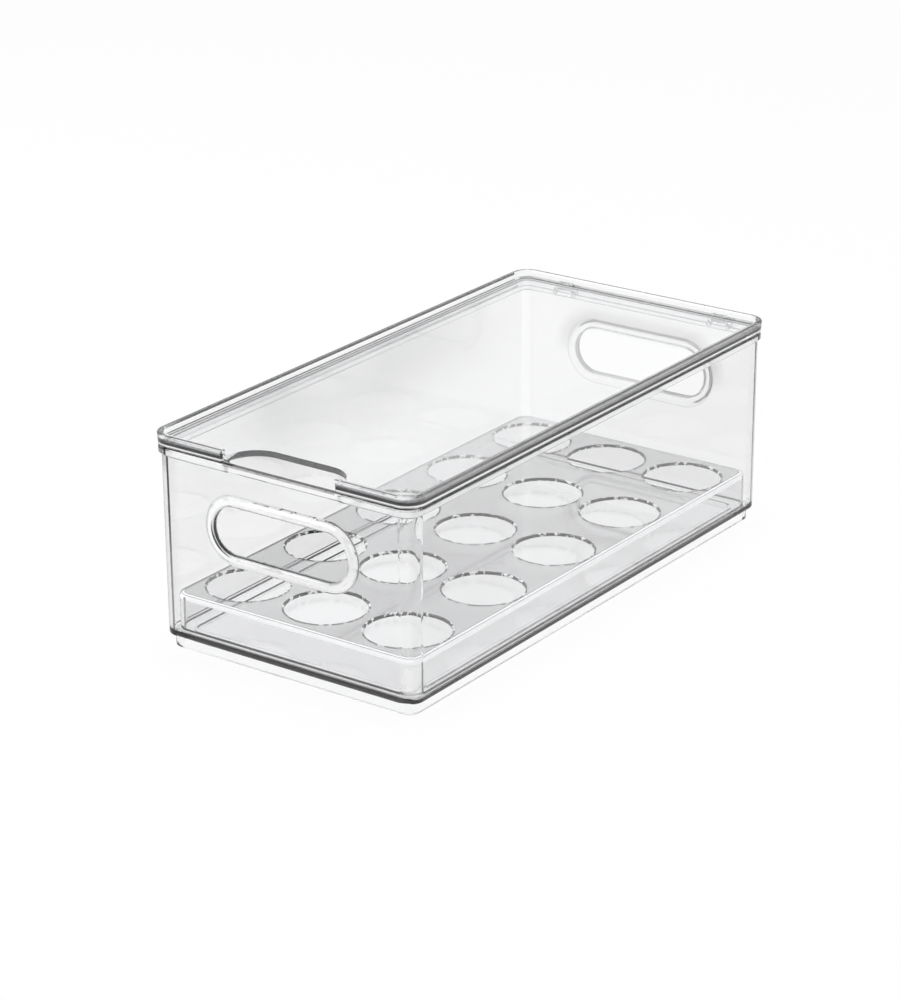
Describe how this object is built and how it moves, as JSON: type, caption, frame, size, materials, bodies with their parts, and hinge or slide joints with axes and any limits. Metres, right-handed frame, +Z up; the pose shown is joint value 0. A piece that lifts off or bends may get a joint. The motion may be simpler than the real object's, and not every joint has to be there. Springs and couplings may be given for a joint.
{
  "type": "egg keeper with flip lid",
  "caption": "Clear storage bin with end hand slots, a drop-in egg tray with round seats and a flip lid with a raised rim and a finger notch.",
  "frame": {"origin": "bottom centre of the whole closed keeper, at the underside of the stacking foot", "axes": "+Z up, +Y along the bin from the finger notch (front) to the hinge (rear), +X across the bin, to the right as seen from the front"},
  "size_m": [0.16, 0.3278, 0.1144],
  "materials": {
    "bin_clear": "clear gloss",
    "tray_clear": "clear gloss",
    "lid_clear": "clear gloss"
  },
  "bodies": {
    "bin": {"bin_body": "bin_clear"},
    "tray": {"egg_tray": "tray_clear"},
    "lid": {"lid": "lid_clear"}
  },
  "joints": [
    {"name": "lid_hinge", "type": "hinge", "parent": "bin", "child": "lid", "pos_m": [0, 0.16106, 0.1052], "axis": [-1, 0, 0], "range_deg": [0, 105]},
    {"name": "tray_lift", "type": "slide", "parent": "bin", "child": "tray", "axis": [0, 0, 1], "range_m": [0, 0.07]}
  ]
}
